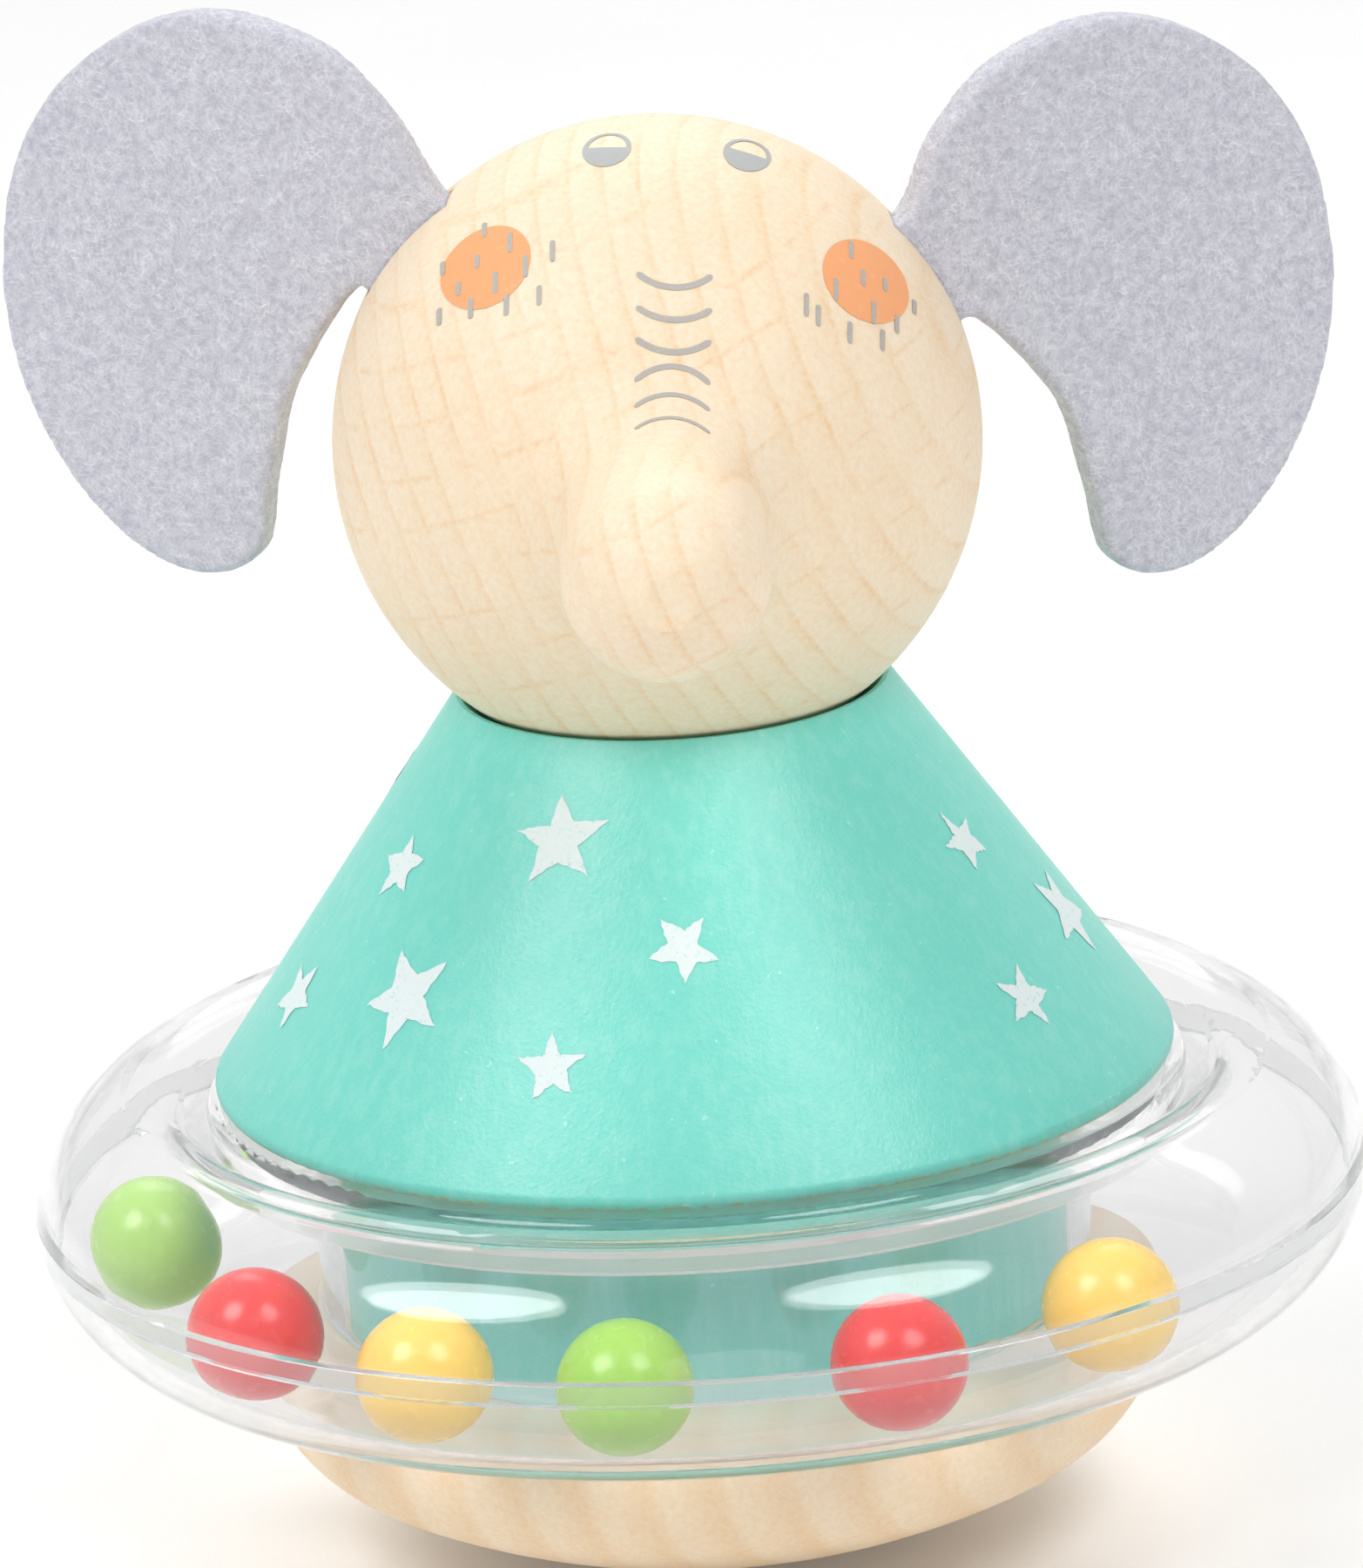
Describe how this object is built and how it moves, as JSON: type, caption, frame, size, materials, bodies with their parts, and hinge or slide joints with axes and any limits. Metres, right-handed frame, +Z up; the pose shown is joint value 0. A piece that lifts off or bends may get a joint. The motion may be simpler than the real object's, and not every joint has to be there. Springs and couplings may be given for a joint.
{
  "type": "roly poly toy",
  "caption": "Wooden elephant roly poly with a weighted dome, a painted cone body, felt ears and a clear ring of loose beads that turns and rattles.",
  "frame": {"origin": "centre of the small flat under the dome, on the floor", "axes": "+Z up along the turned axis, -Y the way the trunk points, +X to the right as seen from the front"},
  "size_m": [0.1011, 0.1, 0.1177],
  "materials": {
    "beech": "clear matt varnish on beech",
    "teal_paint": "satin paint on turned wood",
    "clear_plastic": "clear, polished",
    "green_bead": "gloss",
    "red_bead": "gloss",
    "yellow_bead": "gloss",
    "felt": "thick pressed felt",
    "steel": "plain turned steel"
  },
  "bodies": {
    "toy": {"base_dome": "beech", "counterweight": "steel", "centre_dowel": "beech", "hub": "teal_paint", "cone_body": "teal_paint", "neck_dowel": "beech", "head": "beech", "left_ear": "felt", "right_ear": "felt"},
    "ring": {"ring_lower_shell": "clear_plastic", "ring_upper_shell": "clear_plastic"},
    "green_left": {"bead_green_left": "green_bead"},
    "red_left": {"bead_red_left": "red_bead"},
    "yellow_left": {"bead_yellow_left": "yellow_bead"},
    "green_middle": {"bead_green_middle": "green_bead"},
    "red_right": {"bead_red_right": "red_bead"},
    "yellow_right": {"bead_yellow_right": "yellow_bead"}
  },
  "joints": [
    {"name": "ring_spin", "type": "hinge", "parent": "toy", "child": "ring", "pos_m": [0, 0, 0], "axis": [0, 0, 1], "continuous": true},
    {"name": "green_left_roll", "type": "hinge", "parent": "ring", "child": "green_left", "pos_m": [0, 0, 0], "axis": [0, 0, 1], "range_deg": [-106, 9.5]},
    {"name": "red_left_roll", "type": "hinge", "parent": "ring", "child": "red_left", "pos_m": [0, 0, 0], "axis": [0, 0, 1], "range_deg": [-9.5, 4.3]},
    {"name": "yellow_left_roll", "type": "hinge", "parent": "ring", "child": "yellow_left", "pos_m": [0, 0, 0], "axis": [0, 0, 1], "range_deg": [-4.3, 3.3]},
    {"name": "green_middle_roll", "type": "hinge", "parent": "ring", "child": "green_middle", "pos_m": [0, 0, 0], "axis": [0, 0, 1], "range_deg": [-3.3, 6.5]},
    {"name": "red_right_roll", "type": "hinge", "parent": "ring", "child": "red_right", "pos_m": [0, 0, 0], "axis": [0, 0, 1], "range_deg": [-6.5, 5.5]},
    {"name": "yellow_right_roll", "type": "hinge", "parent": "ring", "child": "yellow_right", "pos_m": [0, 0, 0], "axis": [0, 0, 1], "range_deg": [-5.5, 106]}
  ]
}
